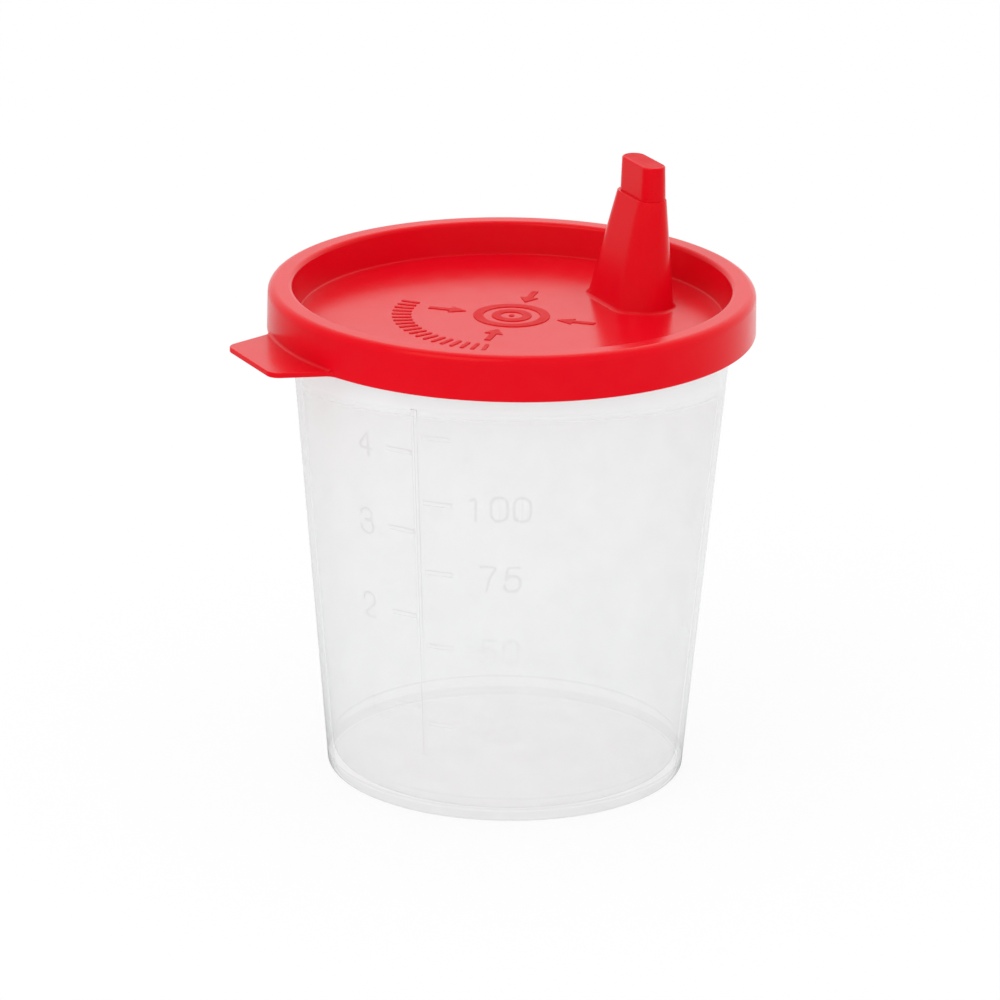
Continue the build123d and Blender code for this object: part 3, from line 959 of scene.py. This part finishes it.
def raised_scale():
    """The scale's marks and numerals as one mesh. Each row of numerals has its left edge and
    the pitch of its digits, along the wall from the spine, and the height of its middle."""
    rows = [
        ("4", -9.2, 0, mark_height(4 * ounce)),
        ("3", -9.6, 0, mark_height(3 * ounce)),
        ("2", -10.0, 0, mark_height(2 * ounce)),
        ("1", -10.0, 0, mark_height(ounce)),
        ("100", 7.4, 3.1, mark_height(4 * step_volume) - hundred_drop),
        ("75", 9.1, 3.3, mark_height(3 * step_volume) - numeral_drop),
        ("50", 9.1, 3.3, mark_height(2 * step_volume) - numeral_drop),
        ("25", 9.1, 3.3, mark_height(step_volume) - numeral_drop),
    ]
    marks = bpy.data.objects.new("scale", numerals(rows, scale_milky))
    scene.collection.objects.link(marks)
    values = {
        "Ounce Count": ounce_count,
        "Step Count": step_count,
        "Ounce": ounce,
        "Step": step_volume,
        "Ounce Offset": radians(ounce_azimuth - spine_azimuth) * lay_radius,
        "Step Offset": radians(step_azimuth - spine_azimuth) * lay_radius,
        "Mark Size": (mark_length, relief + sunk, mark_foot),
        "Draft": mark_draft,
        "Spine Size": (spine_width, relief + sunk, spine_top - spine_bottom),
        "Spine Middle": (spine_top + spine_bottom) / 2,
        "Base Radius": base_radius,
        "Wall Slope": wall_slope,
        "Floor Radius": floor_radius,
        "Floor Height": cup_floor,
        "Lay Radius": lay_radius,
        "Azimuth": radians(spine_azimuth),
        "Out": (relief - sunk) / 2,
        "Material": scale_milky,
    }
    return grown(marks, scale_tree(), values)


cup = cup_form()
combined(cup, [raised_scale()], "UNION")
shaded(cup)
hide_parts("cup")
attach(cup, "cup")

# Stage: the camera, the white floor, the world and the lamp
turned_by = radians(-27)
wall_azimuth = radians(51)
behind = Vector((cos(wall_azimuth), sin(wall_azimuth), 0))
room_start, room_fall_off, sheet_glow, diffuse_light = -0.9, 2.5, 0.85, 1.08


def photo_camera():
    """The photograph's camera, its offsets in millimetres, turned so that +X stays at the spout."""
    pitch, roll = 0.3291, 0.0149
    sideways, upwards, distance = 0.692, -36.45, 913.5
    tilt_sin, tilt_cos = sin(pitch), cos(pitch)
    right = Vector((cos(roll), sin(roll) * tilt_sin, sin(roll) * tilt_cos))
    up = Vector((-sin(roll), cos(roll) * tilt_sin, cos(roll) * tilt_cos))
    ahead = Vector((0, tilt_cos, -tilt_sin))
    lens = bpy.data.cameras.new("camera")
    lens.sensor_width, lens.lens = 36, 231.09
    lens.clip_start, lens.clip_end = 0.05, 20
    camera = bpy.data.objects.new("camera", lens)
    scene.collection.objects.link(camera)
    pose = Matrix((right, up, -ahead)).transposed().to_4x4()
    pose.translation = -(sideways * right + upwards * up + distance * ahead) * MM
    camera.matrix_world = Matrix.Rotation(turned_by, 4, "Z") @ pose
    scene.camera = camera


def room_light(tree, way):
    """What a reflection sees in one direction: a white wall behind the object, dim in front of it."""
    level = add(tree, vector_maths, product, {0: way, 1: (1, 1, 0)}).outputs[0]
    flat = add(tree, vector_maths, {"operation": "NORMALIZE"}, {0: level}).outputs[0]
    facing = add(tree, vector_maths, {"operation": "DOT_PRODUCT"}, {0: flat, 1: behind})
    spread = {"Value": facing.outputs["Value"], "From Min": room_start, "From Max": 1.0}
    share = add(tree, mapping, (), spread).outputs[0]
    return add(tree, maths, power, {0: share, 1: room_fall_off}).outputs[0]


def seen_directly(tree):
    """The ray's kinds, and 1 where the eye looks at the stage, straight or through the cup."""
    path = add(tree, "ShaderNodeLightPath").outputs
    kinds = {0: path["Is Camera Ray"], 1: path["Is Transmission Ray"]}
    return path, add(tree, maths, greater_of, kinds).outputs[0]


def white_floor():
    """A matt white sheet that reads as white to the eye and through the cup, and keeps the shadow."""
    white, half_side = (1, 1, 1, 1), 3.0
    material = bpy.data.materials.new("matt_white_sheet")
    tree = empty_tree(material)
    path, seen = seen_directly(tree)
    paper = add(tree, "ShaderNodeBsdfDiffuse", (), {"Color": linear("#F2F2F2")}).outputs[0]
    glow = add(tree, "ShaderNodeEmission", (), {"Color": white, "Strength": 1.0}).outputs[0]
    mirror = room_light(tree, add(tree, "ShaderNodeTexCoord").outputs["Object"])
    mirrored = add(tree, "ShaderNodeEmission", (), {"Color": white, "Strength": mirror}).outputs[0]
    lit = add(tree, maths, product, {0: seen, 1: sheet_glow}).outputs[0]
    blend = add(tree, "ShaderNodeMixShader", (), {0: lit, 1: paper, 2: glow}).outputs[0]
    glossy = {0: path["Is Glossy Ray"], 1: blend, 2: mirrored}
    whole = add(tree, "ShaderNodeMixShader", (), glossy).outputs[0]
    add(tree, "ShaderNodeOutputMaterial", (), {"Surface": whole})
    mesh = bpy.data.meshes.new("floor")
    corners = [(x * half_side, y * half_side, 0) for x, y in ((-1, -1), (1, -1), (1, 1), (-1, 1))]
    mesh.from_pydata(corners, [], [(0, 1, 2, 3)])
    mesh.materials.append(material)
    sheet = bpy.data.objects.new("floor", mesh)
    scene.collection.objects.link(sheet)
    return sheet


def studio_world():
    """White all round for diffuse light and for what shows through the cup; for reflections a
    bright wall behind the object and a dim room in front of it."""
    world = bpy.data.worlds.new("studio")
    scene.world = world
    tree = empty_tree(world)
    wall_light = room_light(tree, add(tree, "ShaderNodeTexCoord").outputs["Generated"])
    path, seen = seen_directly(tree)
    room = {0: path["Is Glossy Ray"], 2: diffuse_light, 3: wall_light}
    plain = add(tree, mix, (), room).outputs[0]
    strength = add(tree, mix, (), {0: seen, 2: plain, 3: 1.0}).outputs[0]
    sky = add(tree, "ShaderNodeBackground", (), {"Color": (1, 1, 1, 1), "Strength": strength}).outputs[0]
    add(tree, "ShaderNodeOutputWorld", (), {"Surface": sky})


def soft_lamp(name, azimuth, elevation, distance, size, watts):
    """A soft square lamp that looks at the middle of the object. Its azimuth is counted from
    the camera's right, and its distance and size are in metres."""
    data = bpy.data.lights.new(name, "AREA")
    data.size, data.energy = size, watts
    light = bpy.data.objects.new(name, data)
    scene.collection.objects.link(light)
    a, e = radians(azimuth) + turned_by, radians(elevation)
    place = Vector((cos(a) * cos(e), sin(a) * cos(e), sin(e)))
    target = Vector((0, 0, 45 * MM))
    light.location = target + place * distance
    light.rotation_mode = "QUATERNION"
    light.rotation_quaternion = place.to_track_quat("Z", "Y")


photo_camera()
floor = white_floor()
studio_world()
soft_lamp("key", azimuth=235, elevation=50, distance=0.8, size=0.5, watts=0.8)
